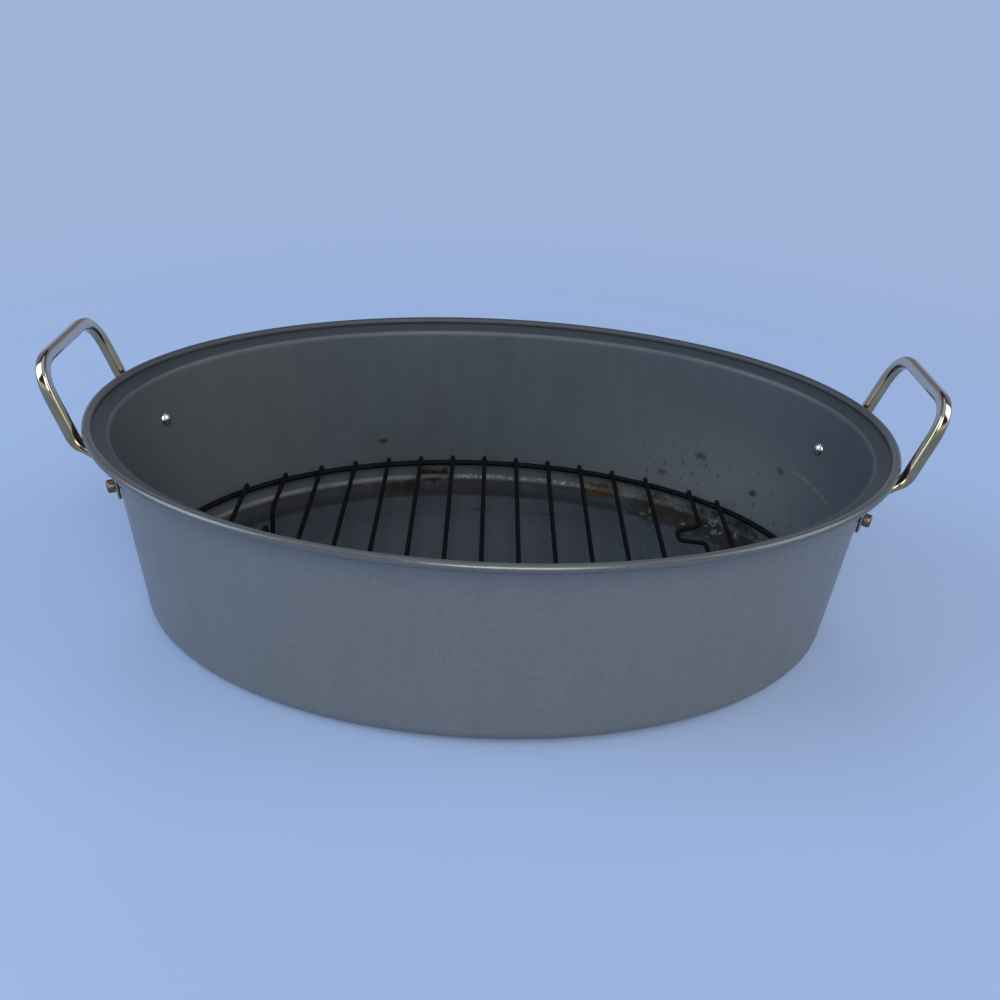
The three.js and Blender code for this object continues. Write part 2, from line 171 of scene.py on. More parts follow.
class RackSizes(bpy.types.PropertyGroup):
    """Sizes of the loose wire rack."""

    height: length("Height", "Bars' axis above the resting plane", 25.5 * MM)
    hoop: length("Hoop wire", "Radius of the hoop's wire", 1.9 * MM)
    bar: length("Bar wire", "Radius of the bars' wire", 1.5 * MM)
    to_wall: length("To wall", "Room between the hoop and the wall", 3.1 * MM)
    pitch: length("Pitch", "Between one bar and the next", 22.9 * MM)
    bar_shift: length("Bar shift", "Bars off the hoop's middle", -1.9 * MM)
    overhang: length("Overhang", "Bar ends past the hoop's axis", 1.7 * MM)
    foot_offset: length("Foot offset", "Feet off the middle, front and back", 39.5 * MM)
    foot_opening: length("Foot opening", "Width of a foot at the bar", 22 * MM)
    foot_tip: length("Foot tip", "Width of a foot at its tip", 12 * MM)
    foot_bend: length("Foot bend", "Radius of a foot's bends", 5.5 * MM)
    folded_length: length("Folded foot", "Length of the foot that is folded in", 15.8 * MM)
    folded_tilt: angle("Folded tilt", "How far the folded foot is turned up from hanging", 84 * DEGREE)
    folded_shift: length("Folded bar shift", "The bar with the folded foot, off the even pitch", 5.8 * MM)
    shift: length("Rack shift", "The rack off the pan's middle", -2 * MM)
    turn: angle("Rack turn", "How far the rack lies turned in the pan", 0.6 * DEGREE)
    gap: length("Weld gap", "Height of the weld between hoop and bars", 0.3 * MM)
    facet: share("Wire flat", "Height of the wire's section against its width", math.cos(math.pi / 8))


class Finishes(bpy.types.PropertyGroup):
    """Colours of the finishes, linear; some hold painted shade and painted light, as noted."""

    outside: colour("Outside coating", "Grey coating of the outer wall", (0.182, 0.193, 0.194))
    # The inside and floor colours are the same coating painted darker: painted shade inside the pan
    inside: colour("Inside coating", "Darker coating of the inner wall", (0.074, 0.095, 0.12))
    floor: colour("Floor coating", "Coating of the pan's floor", (0.042, 0.05, 0.064))
    # The seat's dark colour is painted shade, not a darker coating
    seat: colour("Seat coating", "Coating of the cover seat", (0.034, 0.041, 0.052))
    bead: colour("Bead coating", "Coating of the rolled bead", (0.107, 0.115, 0.121))
    fleck: colour("Coating fleck", "Pale flecks in the coating", (0.3, 0.31, 0.32))
    steel: colour("Steel", "Polished steel of the handles", (0.58, 0.53, 0.47))
    heat: colour("Heat tint", "Straw tint on the handles' lower legs", (0.3, 0.25, 0.135))
    rivet: colour("Rivet head", "Bright alloy of the rivet heads", (0.72, 0.7, 0.66))
    tarnish: colour("Tarnish", "Dulled alloy of the outer knobs", (0.17, 0.14, 0.11))
    wire: colour("Rack wire", "Black coating of the rack", (0.003, 0.0036, 0.005))
    # The haze is painted light: it makes the lower right part of the inner wall paler
    haze: colour("Spatter haze", "Pale film of dried spatter", (0.14, 0.155, 0.175))
    smoke: colour("Smoke", "Warm smoky film", (0.115, 0.105, 0.1))
    scorch: colour("Scorch", "Burnt-on juices", (0.03, 0.012, 0.008))
    # Char also darkens the low back corner, partly as painted shade
    char: colour("Char", "Dark film in the floor's corner", (0.024, 0.025, 0.029))
    grease: colour("Grease", "Baked grease", (0.032, 0.028, 0.024))
    # The crumb colour also paints a highlight line along the back corner
    crumb: colour("Crumbs", "Pale crumbs and worn coating", (0.31, 0.32, 0.32))
    smear: colour("Smear", "Pale rosy smear", (0.19, 0.155, 0.145))
    rust: colour("Rust", "Rusty smears and amber drips", (0.062, 0.037, 0.02))


class StageLook(bpy.types.PropertyGroup):
    """Floor, light and camera."""

    floor: colour("Floor", "Pale floor", (0.345, 0.455, 0.695))
    even_from: length("Even from", "Where the floor starts to turn into an even backdrop", 0.38)
    even_to: length("Even to", "Where the floor is an even backdrop", 1.0)
    zenith: colour("Zenith", "Light from straight above", (0.5, 0.56, 0.66))
    dusk: colour("Dusk", "Dim light between backdrop and zenith", (0.034, 0.03, 0.024))
    back_dusk: colour("Back dusk", "The same at the back", (0.22, 0.225, 0.26))
    front_drop: colour("Front light", "Light above the backdrop at the front", (0.85, 0.81, 0.72))
    back_drop: colour("Back light", "Light above the backdrop at the back", (0.27, 0.265, 0.31))
    left_power: power("Left power", "Soft lamp at the upper left", 54.0)
    left_place: place("Left place", "Where the left lamp hangs", (-2.7, -0.5, 1.9))
    left_size: length("Left size", "Side of the left lamp", 2.0)
    left_tint: colour("Left tint", "Cool light of the left lamp", (0.66, 0.82, 1.0))
    right_power: power("Right power", "Soft lamp at the upper right", 31.0)
    right_place: place("Right place", "Where the right lamp hangs", (2.7, -0.3, 1.9))
    right_size: length("Right size", "Side of the right lamp", 2.0)
    right_tint: colour("Right tint", "Light of the right lamp", (0.88, 0.94, 1.0))
    front_power: power("Front power", "Soft lamp above the camera", 64.0)
    front_place: place("Front place", "Where the front lamp hangs", (0.3, -2.6, 2.2))
    front_size: length("Front size", "Side of the front lamp", 1.8)
    front_tint: colour("Front tint", "Warm light of the front lamp", (1.0, 0.95, 0.86))
    back_power: power("Back power", "Soft fill behind the pan", 25.0)
    back_place: place("Back place", "Where the back lamp hangs", (-0.5, 3.0, 1.6))
    back_size: length("Back size", "Side of the back lamp", 1.8)
    back_tint: colour("Back tint", "Light of the back lamp", (0.86, 0.93, 1.0))
    aim: place("Lamp aim", "Where the lamps point", (0.0, 0.0, 0.06))
    camera_place: place("Camera place", "Where the camera stands", (-0.00093, -0.5639, 0.37299))
    camera_heading: angle("Camera heading", "Turn from the pan's back toward its right end", 0.680 * DEGREE)
    camera_pitch: angle("Camera pitch", "How far the camera looks down", 28.535 * DEGREE)
    camera_roll: angle("Camera roll", "How far the camera leans", 2.933 * DEGREE)
    camera_lens: lens("Camera lens", "Focal length", 38.73)


# Geometry


def unit(vector):
    """A vector of length one."""
    return vector / np.linalg.norm(vector)


def point(x, y, z):
    return np.array((x, y, z), float)


def turned(points, turn):
    """Points turned about the pan's upright axis."""
    spin = np.array(Matrix.Rotation(turn, 3, "Z"))
    return np.asarray(points, float) @ spin.T


def bend(before, corner, after, radius, steps=TURN_STEPS):
    """Points of a round turn at a corner, limited by the straight stretches beside it."""
    back, ahead = before - corner, after - corner
    opening = math.acos(np.clip(np.dot(unit(back), unit(ahead)), -1.0, 1.0))
    cut = min(radius / math.tan(opening / 2), np.linalg.norm(back) / 2, np.linalg.norm(ahead) / 2)
    start, end = corner + cut * unit(back), corner + cut * unit(ahead)
    along = np.linspace(0.0, 1.0, steps + 1)[:, None]
    return list((1 - along) ** 2 * start + 2 * along * (1 - along) * corner + along**2 * end)


def arc(inset, height, radius, start, stop, steps=TURN_STEPS):
    """Points of an arc in the wall's section, as inset and height."""
    angles = np.linspace(start, stop, steps + 1)
    return [(inset + radius * math.cos(a), height + radius * math.sin(a)) for a in angles]


def tangents(path):
    """Directions along a path, each from the point before to the point after."""
    path = np.asarray(path)
    ahead = np.vstack((path[1:], path[-1:]))
    back = np.vstack((path[:1], path[:-1]))
    return [unit(step) for step in ahead - back]


def skin(rings, closed=False):
    """Points and faces of a skin over rings of equal point counts, with caps unless it is closed."""
    sides = len(rings[0])
    points = np.vstack(rings)
    faces = []
    spans = len(rings) if closed else len(rings) - 1
    for i in range(spans):
        here, ahead = i * sides, ((i + 1) % len(rings)) * sides
        for j in range(sides):
            k = (j + 1) % sides
            faces.append((here + j, here + k, ahead + k, ahead + j))
    if not closed:
        last = (len(rings) - 1) * sides
        faces.append(tuple(reversed(range(sides))))
        faces.append(tuple(range(last, last + sides)))
    return points, faces


def joined(parts):
    """Several skins as one."""
    points, faces, start = [], [], 0
    for part_points, part_faces in parts:
        points.append(part_points)
        faces += [tuple(start + i for i in face) for face in part_faces]
        start += len(part_points)
    return np.vstack(points), faces


class PanShape:
    """The pan's section and the places on its wall, from its sizes."""

    def __init__(self, sizes, rivets):
        self.sizes = sizes
        self.rivets = rivets
        self.rim_a = sizes.rim_length / 2 - sizes.bead
        self.rim_b = sizes.rim_width / 2 - sizes.bead
        self.bead_height = sizes.height - sizes.bead
        self.crease_inset = sizes.bead * math.cos(sizes.crease)
        self.crease_height = self.bead_height - sizes.bead * math.sin(sizes.crease)
        self.seat_slope = math.atan2(sizes.seat_drop, sizes.seat_inset + sizes.sheet - self.crease_inset)
        self.wall_top = self.seat_top(sizes.seat_inset) - sizes.sheet / math.cos(self.seat_slope)
        self.draft = math.atan2(sizes.draft, self.wall_top)
        self.level_sheet = sizes.sheet / math.cos(self.draft)
        self.rivet_height = sizes.height - rivets.drop

    def seat_top(self, inset):
        """Height of the cover seat at an inset from the bead's centre line."""
        return self.crease_height - (inset - self.crease_inset) * math.tan(self.seat_slope)

    def wall_inset(self, height):
        """Inset of the wall's outer face at a height."""
        return self.sizes.seat_inset + self.sizes.draft * (self.wall_top - height) / self.wall_top

    def floor_turn(self, radius):
        """The turn from floor to wall."""
        corner = self.sizes.floor_corner
        inset = self.wall_inset(corner) + corner / math.cos(self.draft)
        return arc(inset, corner, radius, 1.5 * math.pi, math.pi + self.draft)

    def round_edge(self, before, edge, after, radius):
        """A rounded edge of the section."""
        before, edge, after = (point(inset, 0, height) for inset, height in (before, edge, after))
        return [(p[0], p[2]) for p in bend(before, edge, after, radius)]

    def section(self):
        """Section points from the underside over the rim to the floor, in named stretches."""
        sizes = self.sizes
        outer_turn = self.floor_turn(sizes.floor_corner)
        inner_turn = self.floor_turn(sizes.floor_corner - sizes.sheet)[::-1]
        sheet_angle = 2 * math.asin(sizes.sheet / (2 * sizes.bead))
        start = 2 * math.pi - sizes.crease - sheet_angle
        bead = arc(0, self.bead_height, sizes.bead, start, -sizes.crease, BEAD_STEPS)
        outer_edge = (sizes.seat_inset, self.wall_top)
        inner_inset = sizes.seat_inset + self.level_sheet
        inner_edge = (inner_inset, self.seat_top(inner_inset))
        outer_round = self.round_edge(outer_turn[-1], outer_edge, bead[0], sizes.seat_corner)
        inner_radius = sizes.seat_corner + sizes.sheet
        inner_round = self.round_edge(bead[-1], inner_edge, inner_turn[0], inner_radius)
        return {
            "outer turn": outer_turn,
            "outer wall": between(outer_turn[-1], outer_round[0], WALL_ROWS),
            "outer edge": outer_round,
            "bead": bead,
            "seat": between(bead[-1], inner_round[0], SEAT_ROWS),
            "inner edge": inner_round,
            "inner wall": between(inner_round[-1], inner_turn[0], WALL_ROWS),
            "inner turn": inner_turn,
        }

    def wall_seat(self, side):
        """A rivet's place at the right end: point, outward normal and upward slope of the wall."""
        inset = self.wall_inset(self.rivet_height)
        a, b = self.rim_a - inset, self.rim_b - inset
        y = self.rivets.spacing / 2
        x = a * math.sqrt(1 - (y / b) ** 2)
        level = unit(point(x / a**2, side * y / b**2, 0))
        normal = math.cos(self.draft) * level - math.sin(self.draft) * UP
        rise = math.sin(self.draft) * level + math.cos(self.draft) * UP
        return point(x, side * y, self.rivet_height), normal, rise


def between(start, end, rows):
    """Points that split a stretch of the section, without its ends."""
    shares = np.linspace(0.0, 1.0, rows + 1)[1:-1]
    return [tuple(np.array(start) * (1 - s) + np.array(end) * s) for s in shares]


def pan_rows(shape):
    """Rows of the pan as half axes, height, and shares of inside, floor, bead, seat and shoulder."""
    sizes = shape.sizes
    stretches = shape.section()
    plain = (0, 0, 0, 0, 0)
    marks = {name: (1, 0, 0, 0, 0) for name in ("inner edge", "inner wall", "inner turn")}
    marks |= {"bead": (0, 0, 1, 0, 0), "seat": (1, 0, 0, 1, 0)}
    foot = shape.rim_a - stretches["outer turn"][0][0], shape.rim_b - stretches["outer turn"][0][0]
    bed = shape.rim_a - stretches["inner turn"][-1][0], shape.rim_b - stretches["inner turn"][-1][0]
    rows = [(foot[0] * s, foot[1] * s, 0.0, *plain) for s in FLAT_ROWS]
    for name, points in stretches.items():
        for i, (inset, height) in enumerate(points):
            along = i / max(1, len(points) - 1)
            inner, floor, bead, seat, shoulder = marks.get(name, plain)
            if name == "bead":
                inner = seat = float(along > BEAD_INSIDE)
            if name == "inner edge":
                seat = float(along < SHOULDER_FROM)
                shoulder = math.sin(math.pi * max(0.0, along - SHOULDER_FROM) / (1 - SHOULDER_FROM))
            if name == "inner turn":
                floor = float(np.clip((along - FLOOR_FROM) / (FLOOR_FULL - FLOOR_FROM), 0, 1))
            marked = (inner, floor, bead, seat, shoulder)
            rows.append((shape.rim_a - inset, shape.rim_b - inset, height, *marked))
    rows += [(bed[0] * s, bed[1] * s, sizes.sheet, 1, 1, 0, 0, 0) for s in FLAT_ROWS[::-1]]
    return np.array(rows)


def pan_mesh(shape):
    """Points, faces and surface marks of the whole pan."""
    rows = pan_rows(shape)
    around = np.linspace(0.0, 2 * math.pi, OVAL_STEPS, endpoint=False)
    x = np.outer(np.cos(around), rows[:, 0])
    y = np.outer(np.sin(around), rows[:, 1])
    z = np.tile(rows[:, 2], (OVAL_STEPS, 1))
    points = np.stack((x, y, z), axis=2).reshape(-1, 3)
    marks = np.tile(rows[:, 3:], (OVAL_STEPS, 1))
    count = len(rows)
    faces = []
    underside, floor = len(points), len(points) + 1
    for i in range(OVAL_STEPS):
        here, ahead = i * count, ((i + 1) % OVAL_STEPS) * count
        for j in range(count - 1):
            faces.append((here + j, ahead + j, ahead + j + 1, here + j + 1))
        faces.append((underside, ahead, here))
        faces.append((floor, here + count - 1, ahead + count - 1))
    points = np.vstack((points, point(0, 0, 0), point(0, 0, shape.sizes.sheet)))
    marks = np.vstack((marks, (0, 0, 0, 0, 0), (1, 1, 0, 0, 0)))
    return points, faces, {name: marks[:, i] for i, name in enumerate(PAN_MARKS)}


def handle_half(shape, sizes, side, lean):
    """Stations of half a handle, from a foot's tip to the middle of the grip, which leans off the feet."""
    seat, normal, rise = shape.wall_seat(side)
    base = seat + (shape.rivets.gap + sizes.foot / 2) * normal
    neck = base + sizes.foot_above * rise
    knee_y = (shape.rivets.spacing + sizes.span) / 4
    rim_x = shape.rim_a * math.sqrt(1 - (knee_y / shape.rim_b) ** 2) + shape.sizes.bead
    knee = point(rim_x + sizes.rim_gap, side * knee_y, shape.sizes.height - sizes.knee_drop)
    grip_x = shape.sizes.rim_length / 2 + sizes.reach
    corner = point(grip_x, side * sizes.span / 2 + lean, shape.sizes.height + sizes.rise)
    middle = point(grip_x, lean, corner[2])
    leg = corner - knee
    stations = []
    for turn in np.linspace(FOOT_TIP_TURN, 0.5 * math.pi, TURN_STEPS):
        below = sizes.foot_below - sizes.foot_width / 2 * (1 - math.cos(turn))
        stations.append((base - below * rise, 0.0, math.sin(turn)))
    forged = bend(base, neck, knee, sizes.knee) + bend(neck, knee, corner, sizes.knee)
    for i, centre in enumerate(forged):
        along = i / (len(forged) - 1)
        stations.append((centre, along * along * (3 - 2 * along), 1.0))
    grip = bend(knee, corner, middle, sizes.corner, 2 * TURN_STEPS) + [middle]
    stations += [(centre, 1.0, 1.0) for centre in grip]
    return stations, normal, unit(point(leg[2], 0, -leg[0]))


def rod_ring(sizes, centre, tangent, across, rod, width):
    """A rounded-rectangle ring: thin and wide on the foot, tall and narrow in the grip."""
    first = unit(across - np.dot(across, tangent) * tangent)
    second = np.cross(tangent, first)
    half_across = ((1 - rod) * sizes.foot + rod * sizes.across) / 2
    half_along = width * ((1 - rod) * sizes.foot_width + rod * sizes.in_plane) / 2
    turns = 2 * math.pi * (np.arange(ROD_SIDES) + 0.5) / ROD_SIDES
    cosine, sine = np.cos(turns), np.sin(turns)
    x = half_across * np.sign(cosine) * np.abs(cosine) ** sizes.squareness
    y = half_along * np.sign(sine) * np.abs(sine) ** sizes.squareness
    return centre + x[:, None] * first + y[:, None] * second


def handle_mesh(shape, sizes, lean):
    """Points and faces of the handle at the right end."""
    front, front_normal, front_loop = handle_half(shape, sizes, -1, lean)
    back, back_normal, back_loop = handle_half(shape, sizes, 1, lean)
    stations = front + back[-2::-1]
    ways = tangents([station[0] for station in stations])
    rings = []
    for i, (centre, rod, width) in enumerate(stations):
        normal, loop = (front_normal, front_loop) if i < len(front) else (back_normal, back_loop)
        rings.append(rod_ring(sizes, centre, ways[i], (1 - rod) * normal + rod * loop, rod, width))
    return skin(rings)


def rivet_mesh(shape, handle, side):
    """Points, faces and the knob's mark of a rivet at the right end, lathed along the wall's normal."""
    sizes = shape.rivets
    seat, normal, rise = shape.wall_seat(side)
    head_face = -shape.sizes.sheet - sizes.gap
    knob_face = handle.foot + 2 * sizes.gap
    knob_end = knob_face + sizes.knob_length
    dome = (sizes.head**2 + sizes.head_rise**2) / (2 * sizes.head_rise)
    dome_angle = math.asin(sizes.head / dome)
    crown = -math.pi / 2
    dome_arc = arc(0, head_face - sizes.head_rise + dome, dome, crown, crown + dome_angle)[1:]
    shank = [(sizes.shank, head_face), (sizes.shank, knob_face)]
    base_round = 0.5 * sizes.gap
    knob_base = arc(sizes.knob - base_round, knob_face, base_round, crown, 0, CAP_STEPS)
    flat = sizes.knob - sizes.knob_round
    knob_arc = arc(flat, knob_end - sizes.knob_round, sizes.knob_round, 0, math.pi / 2)
    dimple = [
        (DIMPLE_RIM * flat, knob_end - DIMPLE_RIM_DEPTH * sizes.knob_round),
        (DIMPLE_BED * flat, knob_end - sizes.gap),
    ]
    profile = dome_arc + shank + knob_base + knob_arc + dimple
    aside = np.cross(rise, normal)
    turns = np.linspace(0.0, 2 * math.pi, LATHE_STEPS, endpoint=False)
    spokes = np.cos(turns)[:, None] * aside + np.sin(turns)[:, None] * rise
    rings = [seat + depth * normal + radius * spokes for radius, depth in profile]
    points, faces = skin(rings)
    outside = np.repeat([float(depth > 0) for radius, depth in profile], LATHE_STEPS)
    return points, faces, {"outside_knob": outside}


def wire_ring(centre, first, second, radius):
    """A round ring of wire."""
    turns = 2 * math.pi * np.arange(WIRE_SIDES) / WIRE_SIDES
    return centre + radius * (np.cos(turns)[:, None] * first + np.sin(turns)[:, None] * second)


def wire_mesh(path, radius):
    """A round wire along a path, with rounded ends."""
    start, end = path[0], path[-1]
    lead = wire_end(start, unit(path[1] - start), radius)
    tail = wire_end(end, unit(path[-2] - end), radius)
    stops = lead + [(stop, radius) for stop in path[1:-1]] + tail[::-1]
    first = point(1, 0, 0)
    rings = []
    for (centre, width), way in zip(stops, tangents([stop[0] for stop in stops])):
        first = unit(first - np.dot(first, way) * way)
        rings.append(wire_ring(centre, first, np.cross(way, first), width))
    return skin(rings)


def wire_end(tip, inward, radius):
    """Centres and radii of a cut wire's end, its edge rounded over a third of the radius."""
    rounding = radius / 3
    turns = np.linspace(0.0, 0.5 * math.pi, CAP_STEPS + 1)
    return [
        (tip + rounding * (1 - math.cos(turn)) * inward, radius - rounding * (1 - math.sin(turn)))
        for turn in turns
    ]


class RackShape:
    """The rack's hoop, bars and feet, from its sizes and the pan's."""

    def __init__(self, sizes, pan):
        self.sizes = sizes
        self.sheet = pan.sizes.sheet
        self.bar_half = sizes.bar * sizes.facet
        self.hoop_height = sizes.height - self.bar_half - sizes.gap - sizes.hoop * sizes.facet
        inset = pan.wall_inset(self.hoop_height) + pan.level_sheet + sizes.to_wall + sizes.hoop
        self.hoop_a = pan.rim_a - inset
        self.hoop_b = pan.rim_b - inset

    def laid(self, points):
        """Points moved to where the rack lies in the pan."""
        return turned(points, self.sizes.turn) + (self.sizes.shift, 0, 0)

    def hoop_mesh(self):
        """The oval hoop."""
        rings = []
        for turn in np.linspace(0.0, 2 * math.pi, HOOP_STEPS, endpoint=False):
            centre = point(self.hoop_a * math.cos(turn), self.hoop_b * math.sin(turn), self.hoop_height)
            outward = unit(point(self.hoop_b * math.cos(turn), self.hoop_a * math.sin(turn), 0))
            rings.append(wire_ring(centre, UP, outward, self.sizes.hoop))
        return skin(rings, closed=True)

    def bar_x(self, index):
        """Where a bar crosses the middle line."""
        even = (index - (BAR_COUNT + 1) / 2) * self.sizes.pitch + self.sizes.bar_shift
        return even + self.sizes.folded_shift if index == FOLDED_BAR else even

    def hoop_y(self, x):
        """Where the hoop crosses a bar."""
        return self.hoop_b * math.sqrt(1 - (x / self.hoop_a) ** 2)

    def foot_loop(self, x, y, reach, tilt):
        """Corners of a foot: a tapered loop, hanging down or folded in toward the middle."""
        sizes = self.sizes
        inward = -math.copysign(1, x) * math.sin(tilt) * reach
        down = math.cos(tilt) * reach
        wide, narrow = sizes.foot_opening / 2, sizes.foot_tip / 2
        top, tip = sizes.height, sizes.height - down
        return [
            point(x, y - wide, top),
            point(x + inward, y - narrow, tip),
            point(x + inward, y + narrow, tip),
            point(x, y + wide, top),
        ]

    def bar_path(self, index):
        """The path of a bar's wire."""
        sizes = self.sizes
        x = self.bar_x(index)
        reach = self.hoop_y(x) + sizes.overhang
        ends = [point(x, -reach, sizes.height), point(x, reach, sizes.height)]
        if index not in FOOT_BARS:
            return ends
        drop = sizes.height - self.bar_half - sizes.gap - self.sheet
        back = (sizes.folded_length, sizes.folded_tilt) if index == FOLDED_BAR else (drop, 0.0)
        feet = self.foot_loop(x, -sizes.foot_offset, drop, 0.0)
        feet += self.foot_loop(x, sizes.foot_offset, *back)
        corners = [ends[0], *feet, ends[1]]
        path = [ends[0]]
        for before, corner, after in zip(corners, feet, corners[2:]):
            path += bend(before, corner, after, sizes.foot_bend)
        return path + [ends[1]]

    def weld_mesh(self, x, y):
        """The flattened nugget where a bar is welded on the hoop."""
        sizes = self.sizes
        low = self.hoop_height + WELD_SINK * sizes.hoop
        high = sizes.height - WELD_SINK * sizes.bar
        middle, half = (low + high) / 2, (high - low) / 2
        rings = []
        for turn in np.linspace(-WELD_SWEEP, WELD_SWEEP, 2 * CAP_STEPS + 1):
            radius = sizes.hoop * (WELD_WAIST + (1 - WELD_WAIST) * math.sin(turn) ** 2) * WELD_FIT
            centre = point(x, y, middle + half * math.sin(turn))
            rings.append(wire_ring(centre, point(1, 0, 0), point(0, 1, 0), radius))
        return skin(rings)

    def bar_mesh(self, index):
        """A bar with its two welds."""
        x = self.bar_x(index)
        y = self.hoop_y(x)
        bar = wire_mesh(self.bar_path(index), self.sizes.bar)
        points, faces = joined([bar, self.weld_mesh(x, -y), self.weld_mesh(x, y)])
        return self.laid(points), faces


# Finishes

# Half axes of an oval just inside the flat floor's edge, and how near it the baked film and the heap begin
BED_HALF = (0.1935, 0.1298)
# The baked film's mask is partly baked film and partly painted shade
BAKED_EDGE, HEAP_EDGE = (0.9, 0.98), (0.85, 1.0)

# Grains, as noise scales for each metre
COATING_GRAIN, RIVET_GRAIN, WIRE_GRAIN = 1400.0, 2600.0, 1500.0
COATING_SMUDGE, STEEL_SMUDGE, RIVET_SMUDGE, WIRE_SMUDGE = 14.0, 60.0, 180.0, 70.0
STREAK_GRAIN, DENT_GRAIN, HAIRLINE_GRAIN, HEAT_GRAIN = 110.0, 7.0, 1500.0, 45.0
SPECK_GRAIN, SPECK_EDGE_GRAIN = 270.0, 700.0
CHIP_GRAIN, FILM_GRAIN, SCRAP_GRAIN = 380.0, 60.0, 150.0

# Stretches that draw a grain out along an axis
STREAK_STRETCH, HAIRLINE_STRETCH, SPECK_STRETCH = (1.0, 1.0, 0.06), (1.0, 0.12, 1.0), (1.0, 1.0, 0.55)

# Levels between which an effect goes from none to full, or from a third number to a fourth
PALE_CUT, DARK_CUT, SMUDGE_CUT, STAIN_CUT = (0.58, 0.74), (0.46, 0.3), (0.38, 0.66), (1.0, 0.45)
STREAK_CUT, CHIP_CUT, SCRAP_CUT = (0.3, 0.7), (0.46, 0.58), (0.59, 0.65)
FILM_CUT, CLOUD_CUT, FRONT_REFLECTION_CUT = (0.3, 0.6, 0.5, 1.0), (0.3, 0.6, 0.75, 1.0), (-0.1, -0.7, 0.75, 1.0)
SPECK_PICK, SPECK_CUT = (0.3, 1.0), (0.31, 0.2)
SPECK_SIZE, SPECK_RAGGED, SPECK_STRENGTH, SCRAP_STRENGTH = 0.31, 0.5, 0.5, 0.55
FILM_DEPTH = (0.15, 0.5)
BAKED_PLAIN, BAKED_SMUDGED = 0.8, 0.2
SHOULDER_SHADE_POWER = 3.0

SPECKLE, SMUDGE, STAIN = "Coating speckle", "Grease smudge", "Baked-on stain"

# Scales of the second noise against the first, shares of both in a smudge, and how ragged stains are
SPECKLE_COARSE, SMUDGE_FINE = 0.31, 7.0
SMUDGE_BROAD_SHARE, SMUDGE_FINE_SHARE = 0.65, 0.35
NOISE_MIDDLE, STAIN_RAGGED = 0.5, 2.0

# Kind, centre, reach, strength and grain of each stain
STAINS = (
    ("scorch", (-0.043, 0.1375, 0.0105), (0.017, 0.010, 0.0065), 1.0, 160.0),
    ("rust", (0.080, 0.129, 0.0085), (0.020, 0.012, 0.006), 0.9, 160.0),
    ("scorch", (-0.062, 0.128, 0.003), (0.030, 0.010, 0.004), 0.6, 160.0),
    ("grease", (0.118, 0.112, 0.005), (0.022, 0.020, 0.012), 0.8, 160.0),
    ("grease", (0.146, 0.094, 0.005), (0.024, 0.022, 0.013), 0.8, 160.0),
    ("grease", (0.168, 0.070, 0.006), (0.022, 0.026, 0.014), 0.8, 160.0),
    ("smear", (0.1953, 0.0531, 0.0663), (0.0045, 0.0055, 0.0022), 0.5, 420.0),
    ("smear", (0.1997, 0.0446, 0.0662), (0.0045, 0.0055, 0.0022), 0.8, 420.0),
    ("smear", (0.2034, 0.0350, 0.0647), (0.0045, 0.0055, 0.0018), 0.7, 420.0),
    ("smear", (0.2059, 0.0269, 0.0644), (0.0045, 0.0050, 0.0018), 0.6, 420.0),
    ("smear", (0.2071, 0.0212, 0.0632), (0.0045, 0.0040, 0.0022), 0.8, 420.0),
    ("char", (-0.006, 0.105, 0.001), (0.011, 0.0016, 0.003), 0.7, 160.0),
    ("char", (0.040, 0.1015, 0.001), (0.007, 0.0014, 0.003), 0.6, 160.0),
    ("char", (-0.079, 0.133, 0.038), (0.005, 0.005, 0.0022), 0.9, 420.0),
    ("char", (0.176, 0.0755, 0.039), (0.0036, 0.0036, 0.0026), 0.8, 520.0),
    ("char", (0.144, 0.1045, 0.051), (0.0052, 0.0052, 0.0034), 0.5, 620.0),
    ("char", (0.188, 0.0635, 0.0625), (0.004, 0.004, 0.0028), 0.6, 520.0),
    ("char", (0.120, 0.116, 0.032), (0.0046, 0.0046, 0.003), 0.45, 620.0),
)


